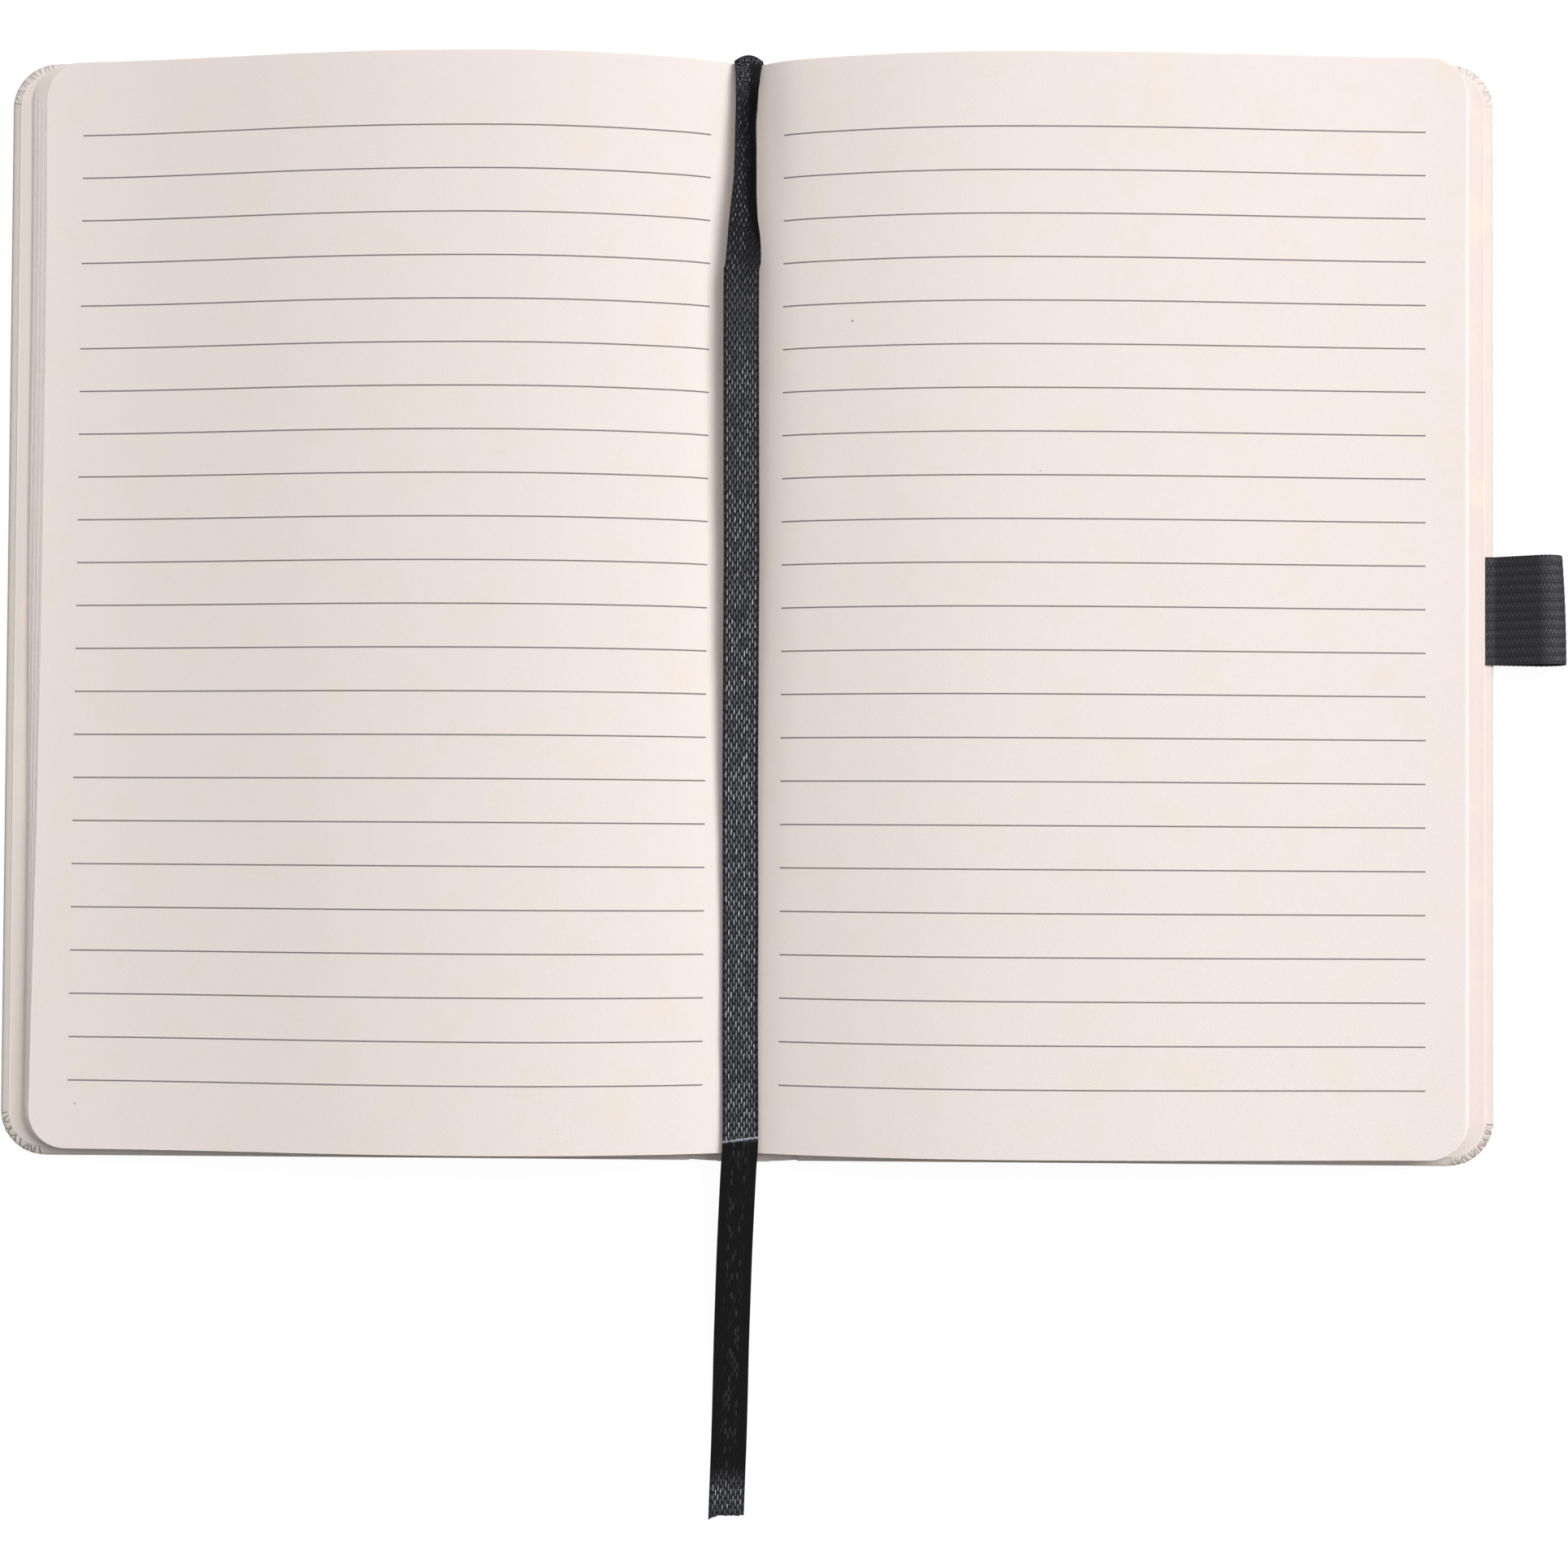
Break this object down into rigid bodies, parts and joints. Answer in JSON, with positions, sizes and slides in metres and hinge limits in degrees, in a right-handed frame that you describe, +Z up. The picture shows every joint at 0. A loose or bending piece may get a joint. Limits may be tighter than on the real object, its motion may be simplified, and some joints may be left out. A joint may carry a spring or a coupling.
{
  "type": "open hardcover notebook",
  "caption": "Ruled hardcover notebook lying open flat, with arched leaves, round corners, a ribbon marker down the gutter and an elastic pen loop on the back cover.",
  "frame": {"origin": "middle of the spine's underside, on the plane that the open notebook lies on", "axes": "+X towards the right-hand page and the back cover's fore-edge, +Y towards the head, +Z up off the table"},
  "size_m": [0.2951, 0.2757, 0.0133],
  "materials": {
    "cover_cloth": "satin, coated",
    "board": "matte",
    "page_paper": "matte uncoated",
    "endpaper": "matte uncoated",
    "lining": "matte",
    "ribbon": "satin",
    "elastic": "matte ribbed"
  },
  "bodies": {
    "root": {"spine_cloth": "cover_cloth", "spine_strip": "board", "spine_lining": "lining", "text_block": "page_paper", "front_flyleaf": "endpaper", "back_flyleaf": "endpaper", "ribbon_marker": "ribbon"},
    "front_cover": {"front_cloth": "cover_cloth", "front_board": "board", "front_pastedown": "endpaper"},
    "back_cover": {"back_cloth": "cover_cloth", "back_board": "board", "back_pastedown": "endpaper", "pen_loop": "elastic"}
  },
  "joints": [
    {"name": "front_hinge", "type": "hinge", "parent": "root", "child": "front_cover", "pos_m": [-0.0075, 0, 0.00017], "axis": [0, -1, 0], "range_deg": [0, 90]},
    {"name": "back_hinge", "type": "hinge", "parent": "root", "child": "back_cover", "pos_m": [0.0075, 0, 0.00017], "axis": [0, 1, 0], "range_deg": [0, 90]}
  ]
}
